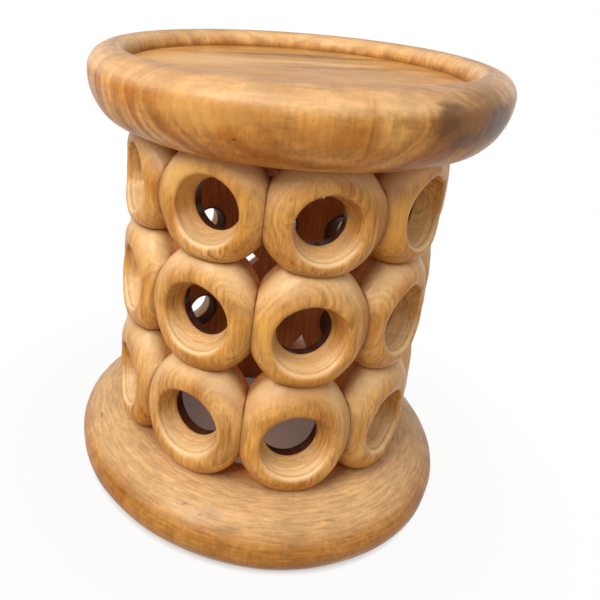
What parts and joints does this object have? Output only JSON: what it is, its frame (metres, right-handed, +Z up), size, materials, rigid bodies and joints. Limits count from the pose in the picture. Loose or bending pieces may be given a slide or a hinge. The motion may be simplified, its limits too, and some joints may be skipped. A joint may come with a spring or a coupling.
{
  "type": "carved wooden stool",
  "caption": "Round stool carved from one log: dished seat with a full round edge, hollow openwork drum of carved rings, and a rounded base ring.",
  "frame": {"origin": "middle of the face that stands on the floor", "axes": "+Z up along the log's axis; -Y is the front, faced by column 1 of the rings; +X to the right seen from the front"},
  "size_m": [0.37, 0.37, 0.42],
  "materials": {
    "seat_wood": "waxed honey-coloured hardwood, satin with soft highlights",
    "ring_wood": "waxed honey-coloured hardwood, satin, with fine upright grain",
    "base_wood": "waxed honey-coloured hardwood, satin"
  },
  "bodies": {
    "root": {"seat": "seat_wood", "ring_top_1": "ring_wood", "ring_top_2": "ring_wood", "ring_top_3": "ring_wood", "ring_top_4": "ring_wood", "ring_top_5": "ring_wood", "ring_top_6": "ring_wood", "ring_top_7": "ring_wood", "ring_top_8": "ring_wood", "ring_top_9": "ring_wood", "ring_middle_1": "ring_wood", "ring_middle_2": "ring_wood", "ring_middle_3": "ring_wood", "ring_middle_4": "ring_wood", "ring_middle_5": "ring_wood", "ring_middle_6": "ring_wood", "ring_middle_7": "ring_wood", "ring_middle_8": "ring_wood", "ring_middle_9": "ring_wood", "ring_bottom_1": "ring_wood", "ring_bottom_2": "ring_wood", "ring_bottom_3": "ring_wood", "ring_bottom_4": "ring_wood", "ring_bottom_5": "ring_wood", "ring_bottom_6": "ring_wood", "ring_bottom_7": "ring_wood", "ring_bottom_8": "ring_wood", "ring_bottom_9": "ring_wood", "base": "base_wood"}
  },
  "joints": []
}
